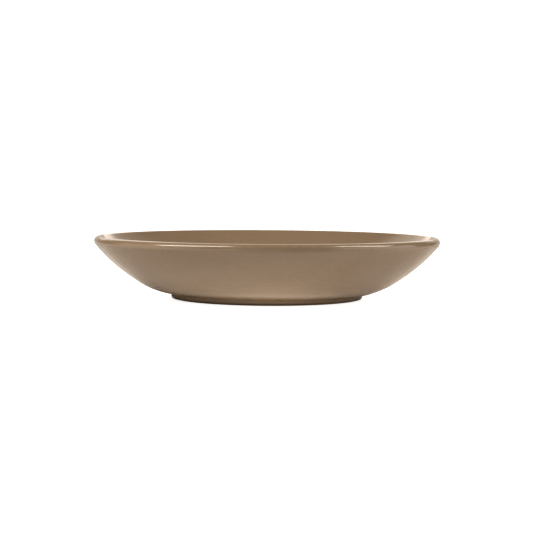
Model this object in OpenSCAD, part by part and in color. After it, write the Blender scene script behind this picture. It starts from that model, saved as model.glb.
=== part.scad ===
// Pasta bowl in satin-glazed stoneware, in millimetres, +Z up.
// The origin is the middle of the ring that the bowl stands on.
//
// Every piece is one half section, drawn in the plane of radius and height and revolved about Z.
// A section is a chain of tangent arcs. A chain is followed by its heading: the angle in degrees
// from the outward level direction, turning towards the top. The clay lies under the glazed
// surface at the thickness of the glaze, so both are laid from the same chains.

/* [Bowl] */
// Widest diameter, over the glazed lip
rim_d = 230; // [190:1:280]
// Height of the crest of the lip above the table
bowl_h = 41.5; // [34:0.5:64]

/* [Wall] */
// Thickness of the floor, with its glaze, at the edge of the well
floor_t = 5.4; // [4.5:0.1:8]
// Slope at which the underside leaves the foot
shoulder_slope = 2.5; // [0:0.5:8]
// How far short of the wall's mean slope the belly hands over to the flank
belly_lag = 4.5; // [0:0.5:8]
// How far beyond the wall's mean slope the flank is at the lip
lip_lift = 15; // [8:0.5:20]
// Rounding of the lip, from its widest point to its crest
lip_outer_r = 3.2; // [2.4:0.1:4.4]
// Rounding of the lip, from its crest to the inside
lip_inner_r = 1.6; // [1:0.1:2.4]

/* [Well] */
// Distance of the well's edge inside the outer face of the foot
well_inset = 3; // [0:0.5:10]
// Depth of the well in the middle, below its edge
well_dish = 0.8; // [0.2:0.1:2]

/* [Foot] */
// Diameter of the foot, at the corner under the bowl
foot_d = 128; // [100:1:150]
// Height of that corner above the table
foot_h = 4.6; // [3.8:0.1:8]
// Width of the foot ring at its joint with the body
foot_w = 7.5; // [6:0.1:12]
// Inward lean of the outer face of the foot
foot_taper = 6; // [0:0.5:12]
// Rounding of the foot's two lower edges
foot_round = 2.2; // [1.6:0.1:2.4]
// Rise of the base inside the foot, in the middle
base_dome = 0.8; // [0.2:0.1:2]

/* [Glaze] */
// Thickness of the glaze
glaze_t = 0.5; // [0.3:0.05:0.7]
// Rounding of the glaze that pools in the corners at the foot
cove_r = 1.2; // [0.6:0.1:1.8]
// Height above the table to which the foot is wiped bare
dry_h = 0.8; // [0.7:0.05:1.2]

/* [Hidden] */

glaze_colour = "#8E7962";
clay_colour = "#A39077";

// Furthest that a chord may lie from its arc
chord_gap = 0.008;
// Sides of a revolved piece in the preview
$fn = 200;

// Unit vector along a heading, and the one to its left
function along(a) = [cos(a), sin(a)];
function left(a) = [-sin(a), cos(a)];

// Way from the start of an arc at heading a to its end at heading b. A right turn has a negative radius.
function arc_way(r, a, b) = r * (left(a) - left(b));

// Number of chords in an arc
function arc_chords(r, a, b) = ceil(abs(b - a) / (2 * acos(1 - chord_gap / abs(r))));

// Points of a chain of arcs [radius, end heading] from p at heading a, moved to the left by shift
function chain(p, a, arcs, shift = 0) = concat([p + shift * left(a)], chain_rest(p, a, arcs, shift, 0));
function chain_rest(p, a, arcs, shift, i) =
    i == len(arcs) ? [] :
    let (r = arcs[i][0], b = arcs[i][1], n = arc_chords(r, a, b))
    concat(
        [for (k = [1:n]) let (h = a + (b - a) * k / n) p + arc_way(r, a, h) + shift * left(h)],
        chain_rest(p + arc_way(r, a, b), b, arcs, shift, i + 1)
    );

// Radii of two tangent arcs from p at heading a to q at heading b, which meet at heading m
function two_radii(p, a, m, q, b) =
    let (u = left(a) - left(m), v = left(m) - left(b), way = q - p)
    [cross(way, v), cross(u, way)] / cross(u, v);

// Corner that two lines through p, at headings a and b, have when both move to the left by shift
function moved_corner(p, a, b, shift) = p + shift / cos((a - b) / 2) * left((a + b) / 2);

function reversed(points) = [for (i = [len(points) - 1:-1:0]) points[i]];
function but_last(points) = [for (i = [0:len(points) - 2]) points[i]];

// Lip
crest = [rim_d / 2 - lip_outer_r, bowl_h];
lip_outer_c = crest - [0, lip_outer_r];
lip_inner_c = crest - [0, lip_inner_r];

// Slopes of the wall, about the line from the foot to the lip
foot_corner = [foot_d / 2, foot_h];
wall_way = lip_outer_c - foot_corner;
wall_slope = atan2(wall_way.y, wall_way.x);
turn_slope = wall_slope - belly_lag;
lip_slope = wall_slope + lip_lift;

// Glazed corner between the foot and the underside
foot_slope = 90 - foot_taper;
cove_way = cove_r * tan((foot_slope - shoulder_slope) / 2);
cove_start = foot_corner - cove_way * along(foot_slope);
belly_start = foot_corner + cove_way * along(shoulder_slope);

// Outside of the wall, from the foot to the crest
flank_end = lip_outer_c - lip_outer_r * left(lip_slope);
outer_r = two_radii(belly_start, shoulder_slope, turn_slope, flank_end, lip_slope);
outer_arcs = [[outer_r[0], turn_slope], [outer_r[1], lip_slope], [lip_outer_r, 180]];

// Inside, from the middle of the well to the crest
well_edge = [foot_d / 2 - well_inset, foot_h + floor_t];
well_middle = [0, well_edge.y - well_dish];
well_slope = 2 * atan(well_dish / well_edge.x);
inner_flank_end = lip_inner_c + lip_inner_r * left(lip_slope);
inner_r = two_radii(well_edge, well_slope, turn_slope, inner_flank_end, lip_slope);
inner_arcs = [
    [well_edge.x / sin(well_slope), well_slope],
    [inner_r[0], turn_slope],
    [inner_r[1], lip_slope],
    [-lip_inner_r, 0]
];

// Joint of body and ring, a flat seat from the outer clay corner to the inner one
seat_outer = moved_corner(foot_corner, foot_slope, shoulder_slope, glaze_t);
seat_inner = [seat_outer.x - foot_w, seat_outer.y];

// Dome of the base inside the ring
dome_middle = [0, seat_inner.y + base_dome];
dome_slope = 2 * atan(base_dome / seat_inner.x);
dome_r = seat_inner.x / sin(dome_slope);
dome_arc = [[-dome_r, -dome_slope]];

// Lower edges of the ring, each wiped bare up to the heading at which it reaches dry_h
dry_turn = acos(1 - dry_h / foot_round);
outer_edge_x = seat_outer.x - seat_outer.y / tan(foot_slope) - foot_round * tan(foot_slope / 2);
outer_edge = [outer_edge_x, 0];
inner_edge = [seat_inner.x, foot_round];
outer_dry = outer_edge + arc_way(foot_round, 0, dry_turn);
glazed_outer_edge = [[foot_round, foot_slope]];
glazed_inner_edge = [[foot_round, -dry_turn]];

// The fired stoneware shell
module clay_body() {
    under = concat(chain(dome_middle, 0, dome_arc), [seat_outer]);
    outside = chain(belly_start, shoulder_slope, outer_arcs, glaze_t);
    inside = chain(well_middle, 0, inner_arcs, -glaze_t);
    color(clay_colour) rotate_extrude() polygon(concat(under, outside, reversed(but_last(inside))));
}

// The ring that the bowl stands on
module foot_ring() {
    inner_side = chain(inner_edge, -90, concat(glazed_inner_edge, [[foot_round, 0]]));
    outer_side = chain(outer_edge, 0, concat([[foot_round, dry_turn]], glazed_outer_edge));
    color(clay_colour) rotate_extrude() polygon(concat([seat_inner], inner_side, outer_side, [seat_outer]));
}

// The coat inside the bowl
module liner_glaze() {
    surface_points = chain(well_middle, 0, inner_arcs);
    clay_points = chain(well_middle, 0, inner_arcs, -glaze_t);
    color(glaze_colour) rotate_extrude() polygon(concat(clay_points, reversed(surface_points)));
}

// The coat outside the bowl, with a rolled lower edge
module outer_glaze() {
    rolled_edge = but_last(chain(outer_dry, dry_turn - 180, [[glaze_t / 2, dry_turn]]));
    foot_surface = chain(outer_dry, dry_turn, glazed_outer_edge, -glaze_t);
    wall_surface = chain(cove_start, foot_slope, concat([[-cove_r, shoulder_slope]], outer_arcs));
    foot_clay = chain(outer_dry, dry_turn, glazed_outer_edge);
    wall_clay = chain(belly_start, shoulder_slope, outer_arcs, glaze_t);
    clay_points = concat(foot_clay, [seat_outer], wall_clay);
    color(glaze_colour) rotate_extrude()
        polygon(concat(rolled_edge, foot_surface, wall_surface, but_last(reversed(clay_points))));
}

// The coat under the base, inside the ring, with a rolled lower edge
module base_glaze() {
    recess_x = seat_inner.x - glaze_t;
    cove_slope = asin((recess_x - cove_r) / (dome_r - glaze_t - cove_r));
    ceiling = chain(dome_middle - [0, glaze_t], 0, [[glaze_t - dome_r, -cove_slope], [-cove_r, -90]]);
    side = chain(inner_edge, -90, glazed_inner_edge, -glaze_t);
    inner_dry = inner_edge + arc_way(foot_round, -90, -dry_turn);
    rolled_edge = chain(inner_dry - glaze_t * left(-dry_turn), -dry_turn, [[glaze_t / 2, 180 - dry_turn]]);
    clay_points = concat(chain(dome_middle, 0, dome_arc), chain(inner_edge, -90, glazed_inner_edge));
    color(glaze_colour) rotate_extrude()
        polygon(concat(ceiling, but_last(side), rolled_edge, reversed(but_last(clay_points))));
}

clay_body();
foot_ring();
liner_glaze();
outer_glaze();
base_glaze();
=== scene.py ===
# %% [markdown]
# A glazed pasta bowl
#
# The bowl is a wide, shallow coupe: a clay shell on a low foot ring, dressed in a satin taupe glaze.
# The frame holds its five solids at their real size. This lesson gives the three coats of glaze and the
# foot ring a finer surface and a finish, then sets the light and the camera of a studio photograph.
# The frame comes first, because every size below is read from it.

# %% Load the frame
import math

import bpy
import numpy as np
from mathutils import Matrix, Vector


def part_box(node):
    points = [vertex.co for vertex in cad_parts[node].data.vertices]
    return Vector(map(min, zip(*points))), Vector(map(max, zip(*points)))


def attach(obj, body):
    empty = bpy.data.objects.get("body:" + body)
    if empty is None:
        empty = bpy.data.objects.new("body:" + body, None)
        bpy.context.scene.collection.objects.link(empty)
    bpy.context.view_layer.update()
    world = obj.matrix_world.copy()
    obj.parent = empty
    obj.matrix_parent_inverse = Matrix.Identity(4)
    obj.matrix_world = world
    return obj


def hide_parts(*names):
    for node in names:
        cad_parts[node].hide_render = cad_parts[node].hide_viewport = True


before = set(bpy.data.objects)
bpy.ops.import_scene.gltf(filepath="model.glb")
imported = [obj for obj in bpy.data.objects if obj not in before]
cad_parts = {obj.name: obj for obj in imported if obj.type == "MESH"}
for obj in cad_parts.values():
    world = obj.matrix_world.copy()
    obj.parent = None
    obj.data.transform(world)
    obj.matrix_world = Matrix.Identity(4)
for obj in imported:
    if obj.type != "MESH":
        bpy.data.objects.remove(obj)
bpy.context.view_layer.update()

# %% [markdown]
# The camera
#
# The photograph looks at the bowl from just above its rim, from a long way off, so the mouth closes to a
# thin ellipse. A lens is a choice of distance: the near and far lips differ in width by the perspective of
# about 1.1 m. The focal length is measured in pixels of a square picture, and the sensor turns it into
# millimetres. The camera tips down a little instead of shifting its lens, because a shift would follow
# it into every other view. It also rolls by a few thousandths of a radian, as a tripod set by hand does.

# %% The camera
MM = 0.001
PICTURE_SIDE = 533
FOCAL_PIXELS = 1648
SENSOR = 36
CAMERA_DISTANCE = 1.1
CAMERA_HEIGHT = 88 * MM
CAMERA_SIDESTEP = -0.3 * MM
AIM_HEIGHT = 21.3 * MM
CAMERA_ROLL = 0.0072

camera_data = bpy.data.cameras.new("camera")
camera_data.sensor_width = SENSOR
camera_data.lens = SENSOR * FOCAL_PIXELS / PICTURE_SIDE
camera = bpy.data.objects.new("camera", camera_data)
pitch = math.atan2(CAMERA_HEIGHT - AIM_HEIGHT, CAMERA_DISTANCE)
camera.matrix_world = (
    Matrix.Translation((CAMERA_SIDESTEP, -CAMERA_DISTANCE, CAMERA_HEIGHT))
    @ Matrix.Rotation(math.pi / 2 - pitch, 4, "X")
    @ Matrix.Rotation(CAMERA_ROLL, 4, "Z")
)
bpy.context.scene.collection.objects.link(camera)
bpy.context.scene.camera = camera
print(f"Camera: lens {camera_data.lens:.1f} mm, looking down {math.degrees(pitch):.2f} degrees")

# %% [markdown]
# Drawing a section
#
# A thrown or pressed bowl is a solid of revolution, so all its form is in one half section, drawn in the
# plane of radius and height. Points on a spline would do, but a maker's template is made of arcs that run
# into each other without a corner. A heading says where the line is going, in degrees from the outward
# level direction. From heading a to heading h, an arc of radius r moves by r times (left of a minus left
# of h), and a right turn has a negative radius.

# %% Arcs that follow a heading
def along(heading):
    """Unit vector along a heading."""
    turn = np.radians(heading)
    return np.stack([np.cos(turn), np.sin(turn)], axis=-1)


def left_of(heading):
    """Unit vector to the left of a heading: the heading turned by a right angle."""
    return along(np.asarray(heading) + 90)


def follow(start, heading, arcs):
    """Points and headings along a chain of tangent arcs, each given as (radius, end heading, steps)."""
    points = [np.array([start])]
    headings = [np.array([float(heading)])]
    for radius, end, steps in arcs:
        turns = np.linspace(headings[-1][-1], end, steps + 1)[1:]
        points.append(points[-1][-1] + radius * (left_of(headings[-1][-1]) - left_of(turns)))
        headings.append(turns)
    return np.concatenate(points), np.concatenate(headings)


def two_radii(start, start_heading, meeting_heading, end, end_heading):
    """Radii of two tangent arcs from start to end: the two ways add up to end minus start."""
    first = left_of(start_heading) - left_of(meeting_heading)
    second = left_of(meeting_heading) - left_of(end_heading)
    return np.linalg.solve(np.stack([first, second], axis=1), end - start)


print("Arc helpers ready: along, left_of, follow, two_radii")

# %% [markdown]
# The sizes of this bowl
#
# The boxes of the nodes give the radii and heights where pieces end: the lip, its crest, the joint of the
# foot and the thickness of the glaze. What a box can't tell is the slopes, the ring's width and the small
# roundings, so these stand here as named values, the same ones that the solids were drawn with.

# %% Sizes
def reach(node):
    """Largest radius of a node about the axis, with its lowest and highest point."""
    low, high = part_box(node)
    return max(-low.x, -low.y, high.x, high.y), low.z, high.z


SHOULDER_SLOPE = 2.5
BELLY_LAG = 4.5
LIP_LIFT = 15
LIP_INNER_R = 1.6 * MM
WELL_INSET = 3 * MM
WELL_DISH = 0.8 * MM
FOOT_SLOPE = 84
FOOT_WIDTH = 7.5 * MM
FOOT_ROUND = 2.2 * MM
BASE_DOME = 0.8 * MM
COVE_R = 1.2 * MM
DRY_HEIGHT = 0.8 * MM

rim_r, _, bowl_height = reach("outer_glaze")
crest_r, liner_bottom, _ = reach("liner_glaze")
glaze = bowl_height - reach("clay_body")[2]
seat_r, _, seat_height = reach("foot_ring")
recess_r = seat_r - FOOT_WIDTH

lip_outer_r = rim_r - crest_r
crest = np.array([crest_r, bowl_height])
seat_outer = np.array([seat_r, seat_height])
seat_inner = np.array([recess_r, seat_height])
print(f"Lip {2000 * rim_r:.1f} mm wide, crest at {1000 * bowl_height:.1f} mm, glaze {1000 * glaze:.2f} mm")

# %% [markdown]
# The wall outside and inside
#
# From the corner at the foot the outside leaves almost level, swells through the belly, flattens into the
# flank and turns over the lip. The inside repeats it, from the middle of the well to the same crest. Two
# arcs between fixed ends are fixed by the slope at which they meet, which leaves their radii to be solved.

# %% Chains of the wall
mean_corner = (FOOT_SLOPE + SHOULDER_SLOPE) / 2
half_corner = math.radians(FOOT_SLOPE - SHOULDER_SLOPE) / 2
foot_corner = seat_outer - glaze / math.cos(half_corner) * left_of(mean_corner)

lip_outer_centre = crest - [0, lip_outer_r]
wall_way = lip_outer_centre - foot_corner
wall_slope = math.degrees(math.atan2(wall_way[1], wall_way[0]))
turn_slope = wall_slope - BELLY_LAG
lip_slope = wall_slope + LIP_LIFT

cove_way = COVE_R * math.tan(half_corner)
cove_start = foot_corner - cove_way * along(FOOT_SLOPE)
belly_start = foot_corner + cove_way * along(SHOULDER_SLOPE)
flank_end = lip_outer_centre - lip_outer_r * left_of(lip_slope)
belly_r, flank_r = two_radii(belly_start, SHOULDER_SLOPE, turn_slope, flank_end, lip_slope)
outside_arcs = [(belly_r, turn_slope, 32), (flank_r, lip_slope, 50), (lip_outer_r, 180, 60)]

well_middle = np.array([0, liner_bottom + glaze])
well_edge = np.array([foot_corner[0] - WELL_INSET, well_middle[1] + WELL_DISH])
well_slope = 2 * math.degrees(math.atan2(WELL_DISH, well_edge[0]))
well_r = well_edge[0] / math.sin(math.radians(well_slope))
inner_flank_end = crest - [0, LIP_INNER_R] + LIP_INNER_R * left_of(lip_slope)
inner_belly_r, inner_flank_r = two_radii(well_edge, well_slope, turn_slope, inner_flank_end, lip_slope)
inside_arcs = [
    (well_r, well_slope, 56),
    (inner_belly_r, turn_slope, 32),
    (inner_flank_r, lip_slope, 50),
    (-LIP_INNER_R, 0, 30),
]
print(f"Belly radius {1000 * belly_r:.1f} mm, flank {1000 * flank_r:.1f} mm, lip slope {lip_slope:.1f}")

# %% [markdown]
# Turning a section into a piece
#
# Blender's Screw modifier can spin a section, but a grid worked out here keeps the seam closed, meets the
# axis in a single point and lets a number ride on every vertex. A section that closes on itself gives a
# ring, like a tyre. One that starts and ends on the axis gives a dish with a pole at each end.

# %% Surface of revolution
COLUMNS = 384
SHARP_EDGE = 40
ON_AXIS = 1e-9
bearings = np.linspace(0, 2 * math.pi, COLUMNS, endpoint=False)


def ring_faces(rows, wraps):
    """Corners of the four-sided faces between neighbouring rows; the last row meets the first if wraps."""
    row = np.arange(rows if wraps else rows - 1)[:, None]
    column = np.arange(COLUMNS)[None, :]
    next_row = (row + 1) % rows
    next_column = (column + 1) % COLUMNS
    corners = [(row, column), (row, next_column), (next_row, next_column), (next_row, column)]
    return np.stack([r * COLUMNS + c for r, c in corners], axis=-1).reshape(-1, 4)


def revolve(name, section, swell=None, marks=None):
    """Piece swept by a section, given anticlockwise as (radius, height), about the vertical axis.

    A point at bearing t lies at (radius cos t, radius sin t, height). swell is an array of rows by columns by
    2 that is added to the section at each bearing, and marks are named numbers, one for each row.
    """
    grid = np.repeat(section[:, None, :], COLUMNS, axis=1)
    if swell is not None:
        grid = grid + swell
    radius, height = grid[..., 0], grid[..., 1]
    places = np.stack([radius * np.cos(bearings), radius * np.sin(bearings), height], axis=-1)
    has_poles = abs(section[0, 0]) < ON_AXIS
    rows = places[1:-1] if has_poles else places
    vertices = rows.reshape(-1, 3)
    faces = ring_faces(len(rows), not has_poles).tolist()
    if has_poles:
        first, last = len(vertices), len(vertices) + 1
        vertices = np.concatenate([vertices, places[0, :1], places[-1, :1]])
        here = np.arange(COLUMNS)
        after = (here + 1) % COLUMNS
        top = (len(rows) - 1) * COLUMNS
        faces += np.stack([np.full(COLUMNS, first), after, here], axis=-1).tolist()
        faces += np.stack([np.full(COLUMNS, last), top + here, top + after], axis=-1).tolist()
    mesh = bpy.data.meshes.new(name)
    mesh.from_pydata(vertices.tolist(), [], faces)
    for mark, values in (marks or {}).items():
        per_row = values[1:-1] if has_poles else values
        on_vertices = np.repeat(per_row, COLUMNS)
        if has_poles:
            on_vertices = np.concatenate([on_vertices, values[:1], values[-1:]])
        mesh.attributes.new(mark, "FLOAT", "POINT").data.foreach_set("value", on_vertices.astype(np.float32))
    mesh.shade_smooth()
    mesh.set_sharp_from_angle(angle=math.radians(SHARP_EDGE))
    mesh.update()
    piece = bpy.data.objects.new(name, mesh)
    bpy.context.scene.collection.objects.link(piece)
    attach(piece, "root")
    print(f"{name}: {len(section)} rows, {len(mesh.vertices)} vertices, {len(mesh.polygons)} faces")
    return piece


# %% [markdown]
# The maker's hand
#
# A real bowl isn't a perfect solid of revolution: the lip dries into a slow wave, and the turning tool leaves
# rings that the glaze half fills. Both are thinner than the glaze, about a tenth of a millimetre at most, but
# they bend the long reflections on the lip. The wave is a sum of cosines, each given by its count round the
# lip, its height and its start. One field over radius and bearing moves both coats, so that they still meet
# at the crest.

# %% Unevenness of the glazed surface
LIP_WAVES = ((2, 0.06 * MM, 0.6), (3, 0.035 * MM, 2.4), (7, 0.012 * MM, 4.1))
RING_PITCH = 4.6 * MM
RING_HEIGHT = 0.006 * MM


def unevenness(radius):
    """Height of the surface over its drawn section: waves that grow with the radius, and turning rings."""
    share = (radius / rim_r)[:, None] ** 3
    waves = sum(height * np.cos(count * bearings + start) for count, height, start in LIP_WAVES)
    spiral = 2 * math.pi * radius[:, None] / RING_PITCH + bearings
    return share * waves + RING_HEIGHT * share * np.sin(spiral)


def swell_of(points, outward):
    """Way that each point of a section moves, along its outward direction, at each bearing."""
    return unevenness(points[:, 0])[..., None] * outward[:, None, :]


def near(points, place, width):
    """A soft mark, 1 at a place of the section and fading over a width on either side."""
    return np.exp(-(np.linalg.norm(points - place, axis=1) / width) ** 2)


print(f"Unevenness at the lip: {1e6 * np.abs(unevenness(np.array([crest_r]))).max():.0f} micrometres at most")

# %% [markdown]
# The coat outside
#
# The glaze outside runs from the crest of the lip, down the wall and into the corner at the foot, and stops
# in a rolled edge above the wiped foot. In the kiln it flows: it gathers in a bead at that corner, deeper on
# the side that was lower, so the belly meets the foot a little below its drawn corner. The coat is a closed
# skin with the clay's own outline as its back, so it could be lifted off the shell. Its marks tell the finish
# where the glaze is thin, where it lies thick and where it is smooth, and one mark paints shade on the foot.

# %% Outer glaze
THIN_WIDTH = 1.6 * MM
POOL_WIDTH = 2.2 * MM
SMOOTH_WIDTH = 4 * MM
RUN_DEPTH = 0.9 * MM
RUN_LEAN = 0.35 * MM
RUN_REACH = 9 * MM

dry_turn = math.degrees(math.acos(1 - DRY_HEIGHT / FOOT_ROUND))
foot_half = math.radians(FOOT_SLOPE) / 2
foot_low_r = seat_r - seat_height / math.tan(math.radians(FOOT_SLOPE))
outer_edge = np.array([foot_low_r - FOOT_ROUND * math.tan(foot_half), 0])
outer_dry = follow(outer_edge, 0, [(FOOT_ROUND, dry_turn, 1)])[0][-1]
glazed_edge = [(FOOT_ROUND, FOOT_SLOPE, 8)]


def backing(arcs):
    """The same arcs in a third of the steps, six at least, for the back of a coat, which lies on the clay."""
    return [(radius, end, max(steps // 3, 6)) for radius, end, steps in arcs]


def glaze_run(points):
    """Glaze that ran down: a drop at the foot's corner, deeper to one side, that fades along the wall."""
    share = near(points, foot_corner, RUN_REACH)
    drop = share[:, None] * (RUN_DEPTH + RUN_LEAN * np.cos(bearings))
    return np.stack([np.zeros_like(drop), -drop], axis=-1)


def coat_marks(points, thin_places, pool_places):
    """Where a coat is thin, where it pools and where it was sponged smooth, for its finish."""
    return {
        "thin": sum(near(points, place, THIN_WIDTH) for place in thin_places),
        "pooled": sum(near(points, place, POOL_WIDTH) for place in pool_places),
        "smooth": near(points, crest, SMOOTH_WIDTH),
    }


def outer_coat():
    """The coat outside: rolled edge, face of the foot, wall and lip, and back along the clay."""
    roll, _ = follow(outer_dry, dry_turn - 180, [(glaze / 2, dry_turn, 8)])
    edge, edge_headings = follow(outer_dry, dry_turn, glazed_edge)
    foot_face = edge - glaze * left_of(edge_headings)
    wall, wall_headings = follow(cove_start, FOOT_SLOPE, [(-COVE_R, SHOULDER_SLOPE, 14)] + outside_arcs)
    clay, clay_headings = follow(belly_start, SHOULDER_SLOPE, backing(outside_arcs))
    clay = clay + glaze * left_of(clay_headings)
    back = np.concatenate([clay[::-1], [seat_outer], edge[::-1]])
    section = np.concatenate([roll[:-1], foot_face, wall, back[:-1]])
    outward = np.zeros_like(section)
    first_wall_row = len(roll) - 1 + len(foot_face)
    wall_rows = slice(first_wall_row, first_wall_row + len(wall))
    outward[wall_rows] = -left_of(wall_headings)
    swell = swell_of(section, outward)
    swell[wall_rows] += glaze_run(wall)
    marks = coat_marks(section, [crest], [foot_corner])
    # Painted shade: the foot's glaze darkens towards the table, in place of the contact shade there.
    marks["painted_foot_shade"] = np.clip(1 - section[:, 1] / foot_corner[1], 0, 1)
    return revolve("outer_glaze_coat", section, swell, marks)


outer_glaze_coat = outer_coat()
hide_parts("outer_glaze")

# %% [markdown]
# The coat inside
#
# The liner covers everything that food touches. It starts in the middle of the well, where the dish is
# shallow enough to read as flat, and ends at the crest, face to face with the coat outside. The glaze
# settles a little at the edge of the well before it sets in the kiln.

# %% Liner glaze
def liner_coat():
    """The coat inside: its surface from the axis to the crest, and back along the clay to the axis."""
    surface, headings = follow(well_middle, 0, inside_arcs)
    clay, clay_headings = follow(well_middle, 0, backing(inside_arcs))
    clay = clay - glaze * left_of(clay_headings)
    section = np.concatenate([clay, surface[::-1]])
    outward = np.zeros_like(section)
    outward[len(clay):] = left_of(headings[::-1])
    marks = coat_marks(section, [crest], [well_edge])
    return revolve("liner_glaze_coat", section, swell_of(section, outward), marks)


liner_glaze_coat = liner_coat()
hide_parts("liner_glaze")

# %% [markdown]
# The coat under the base
#
# Inside the foot ring the base is glazed too, so that the bowl doesn't take up water in the wash. The base
# domes up a little, which keeps it clear of the table, and the glaze rounds the corner to the ring.

# %% Base glaze
inner_edge = np.array([recess_r, FOOT_ROUND])
dome_slope = 2 * math.degrees(math.atan2(BASE_DOME, recess_r))
dome_r = recess_r / math.sin(math.radians(dome_slope))
dome_middle = seat_inner * [0, 1] + [0, BASE_DOME]
wiped_edge = [(FOOT_ROUND, -dry_turn, 8)]


def base_coat():
    """The coat under the base: ceiling, corner, side of the ring and rolled edge, and back along the clay."""
    cove_slope = math.degrees(math.asin((recess_r - glaze - COVE_R) / (dome_r - glaze - COVE_R)))
    ceiling, _ = follow(
        dome_middle - [0, glaze], 0, [(glaze - dome_r, -cove_slope, 40), (-COVE_R, -90, 12)]
    )
    side, side_headings = follow(inner_edge, -90, wiped_edge)
    face = side - glaze * left_of(side_headings)
    roll, _ = follow(face[-1], -dry_turn, [(glaze / 2, 180 - dry_turn, 8)])
    dome, _ = follow(dome_middle, 0, [(-dome_r, -dome_slope, 20)])
    section = np.concatenate([ceiling, face[:-1], roll, side[-2::-1], dome[::-1]])
    marks = coat_marks(section, [side[-1]], [seat_inner])
    return revolve("base_glaze_coat", section, None, marks)


base_glaze_coat = base_coat()
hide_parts("base_glaze")

# %% [markdown]
# The foot ring
#
# The ring is luted to the underside, trimmed and wiped clean of glaze, or it would weld itself to the
# kiln shelf. Its flat standing face is sanded, so that it doesn't scratch the table.

# %% Foot ring
def foot():
    """The clay ring: flat joint on top, rounded lower edges and the flat face that it stands on."""
    inner_side, _ = follow(inner_edge, -90, [(FOOT_ROUND, 0, 14)])
    outer_side, _ = follow(outer_edge, 0, [(FOOT_ROUND, FOOT_SLOPE, 14)])
    return revolve("foot_ring_clay", np.concatenate([[seat_inner], inner_side, outer_side, [seat_outer]]))


foot_ring_clay = foot()
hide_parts("foot_ring")

# %% [markdown]
# Building a finish from nodes
#
# A finish is a small network: noise that varies a colour, a roughness and a fine relief. A few helpers keep
# the networks short. One starts a material and one adds a node, setting or linking its sockets by name. The
# others are the steps that every finish repeats: noise of a given size, a change of range, a mix of colours.
# Noise seldom leaves the middle of its range, so that is the span that the finishes spread.

# %% Node helpers
NOISE_SPAN = (0.3, 0.7)


def new_material(name):
    """A material with only its output, and the tree to build in."""
    material = bpy.data.materials.new(name)
    material.use_nodes = True
    material.node_tree.nodes.clear()
    return material, material.node_tree


def feed(tree, socket, value):
    """Links a socket to the output given as its value, or sets it to a constant."""
    if isinstance(value, bpy.types.NodeSocket):
        tree.links.new(value, socket)
    else:
        socket.default_value = value


def add(tree, kind, sockets=None, **settings):
    """A node of a kind, with settings on the node and values or links on its input sockets."""
    node = tree.nodes.new("ShaderNode" + kind)
    for setting, value in settings.items():
        setattr(node, setting, value)
    for socket, value in (sockets or {}).items():
        feed(tree, node.inputs[socket], value)
    return node


def noise(tree, place, size, detail, roughness=0.5):
    """Cloudy noise from 0 to 1 whose features are about a size across."""
    sockets = {"Vector": place, "Scale": 1 / size, "Detail": detail, "Roughness": roughness}
    return add(tree, "TexNoise", sockets).outputs["Fac"]


def ranged(tree, value, low, high, to_low, to_high, **settings):
    """A value spread from one range to another, and held at its ends."""
    sockets = {"Value": value, "From Min": low, "From Max": high, "To Min": to_low, "To Max": to_high}
    return add(tree, "MapRange", sockets, **settings).outputs["Result"]


def blended(tree, share, first, second):
    """The first colour, giving way to the second by a share."""
    node = add(tree, "Mix", data_type="RGBA")
    sockets = [s for s in node.inputs if s.enabled]
    for socket, value in zip(sockets, (share, first, second)):
        feed(tree, socket, value)
    return next(s for s in node.outputs if s.enabled)


print("Node helpers ready: new_material, feed, add, noise, ranged, blended")

# %% [markdown]
# The glaze
#
# Seen from a step away the glaze is one even taupe. Closer, it clouds a little where it lay thicker, turns
# lighter where it thins over the lip, darkens where it pools and holds a few specks of iron. Its colour also
# carries painted shade, darker towards the bottom of the foot. It is a satin: tiny crystals spread its
# reflections, less so on the sponged lip, but it is still glass, so it shines at a grazing angle.

# %% Satin taupe glaze
TAUPE_DEEP = (0.254, 0.189, 0.126, 1)
TAUPE_PALE = (0.276, 0.206, 0.138, 1)
TAUPE_MOTTLE = (0.231, 0.171, 0.113, 1)
POOLED_GLAZE = (0.195, 0.140, 0.090, 1)
THIN_GLAZE = (0.298, 0.221, 0.148, 1)
# Painted shade for the bottom of the foot, where the contact shade falls.
PAINTED_SHADE_GLAZE = (0.138, 0.092, 0.046, 1)
IRON_SPECK = (0.110, 0.072, 0.045, 1)
CLOUD_SIZE = 26 * MM
MOTTLE_SIZE = 3 * MM
MOTTLE_SHARE = 0.45
POOLED_SHARE = 0.15
THIN_SHARE = 0.45
PAINTED_SHADE_SHARE = 0.9
SPECK_SPACING = 5 * MM
SPECK_EDGE = (0.03, 0.07)
SPECK_CHANCE = (0.55, 0.9)
SPECK_SHARE = 0.5
SATIN_SIZE = 12 * MM
SATIN_ROUGHNESS = (0.19, 0.23)
SPONGED_ROUGHNESS = 0.13
PEEL_SIZE = 1.6 * MM
PEEL_HEIGHT = 0.02 * MM
PEEL_STRENGTH = 0.1
GLASS_IOR = 1.6


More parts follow.
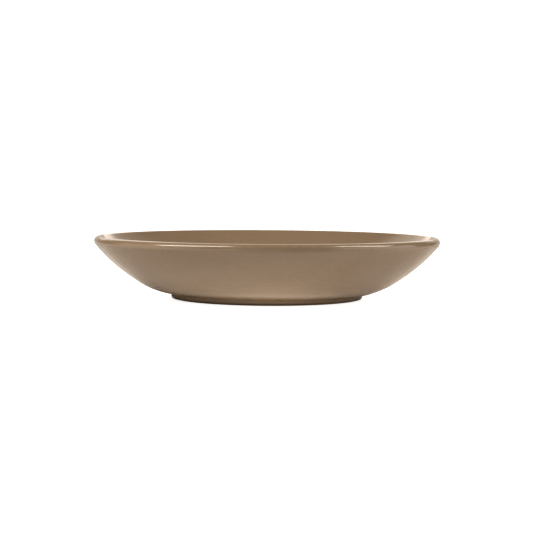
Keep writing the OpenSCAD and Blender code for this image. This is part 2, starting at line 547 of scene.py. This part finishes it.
def taupe_glaze():
    """Glaze with cloudy colour, thin and pooled places, painted shade on the foot, specks and a faint
    orange-peel relief.
    """
    material, tree = new_material("satin_taupe_glaze")
    place = add(tree, "TexCoord").outputs["Object"]
    thin = add(tree, "Attribute", attribute_name="thin").outputs["Fac"]
    pooled = add(tree, "Attribute", attribute_name="pooled").outputs["Fac"]
    painted_foot_shade = add(tree, "Attribute", attribute_name="painted_foot_shade").outputs["Fac"]
    smooth = add(tree, "Attribute", attribute_name="smooth").outputs["Fac"]

    cloud = ranged(tree, noise(tree, place, CLOUD_SIZE, 3), *NOISE_SPAN, 0, 1)
    colour = blended(tree, cloud, TAUPE_DEEP, TAUPE_PALE)
    mottle = ranged(tree, noise(tree, place, MOTTLE_SIZE, 4, 0.6), *NOISE_SPAN, 0, MOTTLE_SHARE)
    colour = blended(tree, mottle, colour, TAUPE_MOTTLE)
    colour = blended(tree, ranged(tree, pooled, 0, 1, 0, POOLED_SHARE), colour, POOLED_GLAZE)
    colour = blended(tree, ranged(tree, thin, 0, 1, 0, THIN_SHARE), colour, THIN_GLAZE)
    # Painted shade: the colour darkens towards the bottom of the foot.
    colour = blended(tree, ranged(tree, painted_foot_shade, 0, 1, 0, PAINTED_SHADE_SHARE), colour, PAINTED_SHADE_GLAZE)

    cells = add(tree, "TexVoronoi", {"Vector": place, "Scale": 1 / SPECK_SPACING, "Randomness": 1})
    grain = ranged(tree, cells.outputs["Distance"], *SPECK_EDGE, 1, 0)
    chance = add(tree, "SeparateColor", {"Color": cells.outputs["Color"]}).outputs["Red"]
    rare = ranged(tree, chance, *SPECK_CHANCE, 0, SPECK_SHARE)
    speck = add(tree, "Math", {0: grain, 1: rare}, operation="MULTIPLY").outputs["Value"]
    colour = blended(tree, speck, colour, IRON_SPECK)

    satin = ranged(tree, noise(tree, place, SATIN_SIZE, 3), *NOISE_SPAN, *SATIN_ROUGHNESS)
    gloss = ranged(tree, smooth, 0, 1, satin, SPONGED_ROUGHNESS)
    peel = noise(tree, place, PEEL_SIZE, 2)
    bumps = {"Height": peel, "Strength": PEEL_STRENGTH, "Distance": PEEL_HEIGHT}
    relief = add(tree, "Bump", bumps).outputs["Normal"]
    sockets = {"Base Color": colour, "Roughness": gloss, "Normal": relief, "IOR": GLASS_IOR}
    shader = add(tree, "BsdfPrincipled", sockets)
    add(tree, "OutputMaterial", {"Surface": shader.outputs["BSDF"]})
    return material


glaze_finish = taupe_glaze()
for coat in (outer_glaze_coat, liner_glaze_coat, base_glaze_coat):
    coat.data.materials.append(glaze_finish)
print(f"{glaze_finish.name}: {len(glaze_finish.node_tree.nodes)} nodes")

# %% [markdown]
# The bare stoneware
#
# The clay shows only on the standing face. Fired stoneware is a buff brown with darker grog and pale sand in
# it, dull and a little rough even where it has been sanded.

# %% Bare clay
CLAY_DARK = (0.35, 0.262, 0.176, 1)
CLAY_PALE = (0.40, 0.305, 0.210, 1)
GROG = (0.21, 0.145, 0.092, 1)
SAND = (0.56, 0.47, 0.36, 1)
BODY_SIZE = 9 * MM
GROG_SIZE = 0.7 * MM
GROG_SPAN = (0.58, 0.68)
GROG_SHARE = 0.7
SAND_SIZE = 0.45 * MM
SAND_SPAN = (0.66, 0.74)
SAND_SHARE = 0.6
DULL_SIZE = 3 * MM
DULL_ROUGHNESS = (0.78, 0.92)
GRAIN_SIZE = 0.35 * MM
GRAIN_HEIGHT = 0.08 * MM
GRAIN_STRENGTH = 0.6


def stoneware():
    """Fired clay with grog, sand and a dull, grainy surface."""
    material, tree = new_material("bare_stoneware")
    place = add(tree, "TexCoord").outputs["Object"]
    body = ranged(tree, noise(tree, place, BODY_SIZE, 4), *NOISE_SPAN, 0, 1)
    colour = blended(tree, body, CLAY_DARK, CLAY_PALE)
    grog = ranged(tree, noise(tree, place, GROG_SIZE, 3, 0.6), *GROG_SPAN, 0, GROG_SHARE)
    colour = blended(tree, grog, colour, GROG)
    sand = ranged(tree, noise(tree, place, SAND_SIZE, 2), *SAND_SPAN, 0, SAND_SHARE)
    colour = blended(tree, sand, colour, SAND)
    dullness = ranged(tree, noise(tree, place, DULL_SIZE, 2), *NOISE_SPAN, *DULL_ROUGHNESS)
    grain = noise(tree, place, GRAIN_SIZE, 4, 0.65)
    bumps = {"Height": grain, "Strength": GRAIN_STRENGTH, "Distance": GRAIN_HEIGHT}
    relief = add(tree, "Bump", bumps).outputs["Normal"]
    shader = add(tree, "BsdfPrincipled", {"Base Color": colour, "Roughness": dullness, "Normal": relief})
    add(tree, "OutputMaterial", {"Surface": shader.outputs["BSDF"]})
    return material


clay_finish = stoneware()
foot_ring_clay.data.materials.append(clay_finish)
clay_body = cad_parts["clay_body"].data
clay_body.materials.clear()
clay_body.materials.append(clay_finish)
print(f"{clay_finish.name}: {len(clay_finish.node_tree.nodes)} nodes")

# %% [markdown]
# The floor
#
# The bowl stands on a table of white acrylic, as in many product photographs. Lamps below it light it in
# patches: in front, under the flanks and far behind. Their warm light reaches the underside of the belly and
# the flanks, and a painted shadow fades it to nothing in a ring next to the foot. The picture's own white
# comes
# from the developing: for the camera alone the table is as white as paper. A wide disc does for it, because
# the camera sees only white beyond its edge. A patch is given by its middle, across and along the table, its
# reach in both directions and its strength.

# %% Floor
FLOOR_R = 1.35
FLOOR_RINGS = 24
FLOOR_COLUMNS = 96
FLOOR_WHITE = 0.8
FLOOR_ROUGHNESS = 0.5
PAPER_GLOW = 0.9
GLOW_COLOUR = (1.0, 0.85, 0.70)
FOOT_SHADE = 6 * MM
GLOW_PATCHES = (
    (3 * MM, -76 * MM, 62 * MM, 40 * MM, 0.36),
    (3 * MM, -66 * MM, 115 * MM, 72 * MM, 0.57),
    (96 * MM, 0, 60 * MM, 80 * MM, 0.23),
    (170 * MM, -100 * MM, 140 * MM, 140 * MM, 0.3),
    (-105 * MM, 70 * MM, 80 * MM, 80 * MM, 0.5),
    (105 * MM, 70 * MM, 80 * MM, 80 * MM, 0.6),
    (0, 750 * MM, 1000 * MM, 650 * MM, 0.7),
)


def floor_disc():
    """A flat disc: rings at even steps of radius about a middle point, level with the standing face."""
    turns = np.linspace(0, 2 * math.pi, FLOOR_COLUMNS, endpoint=False)
    radii = np.linspace(0, FLOOR_R, FLOOR_RINGS + 1)[1:]
    grid = np.stack(
        [np.outer(radii, np.cos(turns)), np.outer(radii, np.sin(turns)), np.zeros((len(radii), len(turns)))],
        axis=-1,
    )
    row = np.arange(len(radii) - 1)[:, None] * len(turns)
    here = np.arange(len(turns))[None, :]
    after = (here + 1) % len(turns)
    quads = np.stack([row + here, row + len(turns) + here, row + len(turns) + after, row + after], axis=-1)
    middle = len(radii) * len(turns)
    fan = np.stack([np.full_like(here, middle), here, after], axis=-1)
    mesh = bpy.data.meshes.new("floor")
    vertices = np.concatenate([grid.reshape(-1, 3), [[0, 0, 0]]])
    mesh.from_pydata(vertices.tolist(), [], quads.reshape(-1, 4).tolist() + fan.reshape(-1, 3).tolist())
    mesh.update()
    floor = bpy.data.objects.new("floor", mesh)
    bpy.context.scene.collection.objects.link(floor)
    return floor


def glow_patch(tree, place, across, along_table, reach_across, reach_along, strength):
    """Light from below: full in the middle of a patch, and fading smoothly to nothing at its reach."""
    middle = {0: place, 1: (across, along_table, 0)}
    offset = add(tree, "VectorMath", middle, operation="SUBTRACT").outputs["Vector"]
    extent = {0: offset, 1: (reach_across, reach_along, 1)}
    share = add(tree, "VectorMath", extent, operation="DIVIDE").outputs["Vector"]
    away = add(tree, "VectorMath", {0: share}, operation="LENGTH").outputs["Value"]
    return ranged(tree, away, 0, 1, strength, 0, interpolation_type="SMOOTHSTEP")


def acrylic():
    """White acrylic with lamps below it, their light cut off next to the foot by a painted shadow."""
    material, tree = new_material("white_acrylic")
    place = add(tree, "TexCoord").outputs["Object"]
    lamps = 0.0
    for patch in GLOW_PATCHES:
        lamp = glow_patch(tree, place, *patch)
        lamps = add(tree, "Math", {0: lamps, 1: lamp}, operation="ADD").outputs["Value"]
    radius = add(tree, "VectorMath", {0: place}, operation="LENGTH").outputs["Value"]
    # Painted shadow: the light from below fades to nothing within FOOT_SHADE of the foot.
    glow = ranged(tree, radius, seat_r, seat_r + FOOT_SHADE, 0, lamps, interpolation_type="SMOOTHSTEP")
    seen = add(tree, "LightPath").outputs["Is Camera Ray"]
    sockets = {"Base Color": (FLOOR_WHITE, FLOOR_WHITE, FLOOR_WHITE, 1), "Roughness": FLOOR_ROUGHNESS}
    sockets["Emission Color"] = blended(tree, seen, (*GLOW_COLOUR, 1), (1, 1, 1, 1))
    sockets["Emission Strength"] = ranged(tree, seen, 0, 1, glow, PAPER_GLOW)
    shader = add(tree, "BsdfPrincipled", sockets)
    add(tree, "OutputMaterial", {"Surface": shader.outputs["BSDF"]})
    return material


floor = floor_disc()
floor.data.materials.append(acrylic())
print(f"Floor disc: {FLOOR_R} m in radius")

# %% [markdown]
# The light
#
# Two bright soft boxes, high on the left and the right, draw the second line on the lip and model the wall.
# Low panels at the sides lift the flanks, and two panels and a low wall behind shine along the crest and into
# the bowl. They share one warm white. Soft boxes are rectangles that face the bowl, each given by the
# directions of its two ends, its distance and width in metres, and its radiance. The radiance counts, not the
# power, because that is what the glaze mirrors: power is radiance times pi times the area.

# %% Soft boxes
WARM_WHITE = (1.0, 0.88, 0.76)


def toward(bearing, height):
    """Unit vector at a bearing from the camera's side, to the right, and a height, both in degrees."""
    turn, rise = math.radians(bearing), math.radians(height)
    return Vector((math.sin(turn) * math.cos(rise), -math.cos(turn) * math.cos(rise), math.sin(rise)))


def soft_box(name, one_end, other_end, distance, width, radiance):
    """A rectangle of light that spans from one direction to another, seen from the bowl, and faces it."""
    start, end = distance * toward(*one_end), distance * toward(*other_end)
    length = (end - start).length
    light = bpy.data.lights.new(name, "AREA")
    light.shape = "RECTANGLE"
    light.size, light.size_y = length, width
    light.energy = radiance * math.pi * length * width
    light.color = WARM_WHITE
    lengthwise = (end - start).normalized()
    away = (start + end).normalized()
    lamp = bpy.data.objects.new(name, light)
    axes = Matrix((lengthwise, away.cross(lengthwise), away)).transposed()
    lamp.matrix_world = Matrix.Translation((start + end) / 2) @ axes.to_4x4()
    bpy.context.scene.collection.objects.link(lamp)
    print(f"{name}: radiance {radiance}, {length:.2f} by {width:.2f} m, {light.energy:.1f} W")


soft_box("key_left", (-79, 31), (-31, 54), 1.3, 0.33, 13.6)
soft_box("key_right", (92, 32), (62, 55), 1.3, 0.36, 8.9)
soft_box("side_left", (-110, 12), (-45, 12), 1.5, 0.6, 0.9)
soft_box("side_right", (45, 12), (110, 12), 1.5, 0.6, 1.6)
soft_box("back_left", (-165, 30), (-142, 30), 1.5, 0.8, 1.2)
soft_box("back_right", (142, 30), (163, 30), 1.5, 0.8, 0.5)
soft_box("wall_behind", (163, 22), (195, 22), 1.6, 0.6, 2.0)

# %% [markdown]
# The room
#
# Behind the bowl the paper runs up from the table and is lit, which keeps the rims from ending in a dark
# line. Everywhere else the room is nearly dark. The camera sees plain white paper all round.

# %% Room light
FILL_LIGHT = 0.02
BACKDROP_LIGHT = 0.7
BACKDROP_REACH = 45
PAPER_WHITE = 1.1


def room_light():
    """World with a faint fill that grows toward the lit backdrop, and is white paper for the camera."""
    world = bpy.data.worlds.new("room")
    bpy.context.scene.world = world
    world.use_nodes = True
    tree = world.node_tree
    tree.nodes.clear()
    way = add(tree, "TexCoord").outputs["Generated"]
    backward = add(tree, "SeparateXYZ", {"Vector": way}).outputs["Y"]
    edge = math.cos(math.radians(BACKDROP_REACH))
    glow = ranged(tree, backward, edge, 1, FILL_LIGHT, BACKDROP_LIGHT, interpolation_type="SMOOTHSTEP")
    fill = add(tree, "Background", {"Color": (*WARM_WHITE, 1), "Strength": glow}).outputs["Background"]
    paper = add(tree, "Background", {"Color": (1, 1, 1, 1), "Strength": PAPER_WHITE}).outputs["Background"]
    seen = add(tree, "LightPath").outputs["Is Camera Ray"]
    mixed = add(tree, "MixShader", {0: seen, 1: fill, 2: paper}).outputs["Shader"]
    add(tree, "OutputWorld", {"Surface": mixed})


room_light()
bpy.context.scene.view_settings.view_transform = "Standard"
print(f"Room light: fill {FILL_LIGHT}, paper {PAPER_WHITE}")
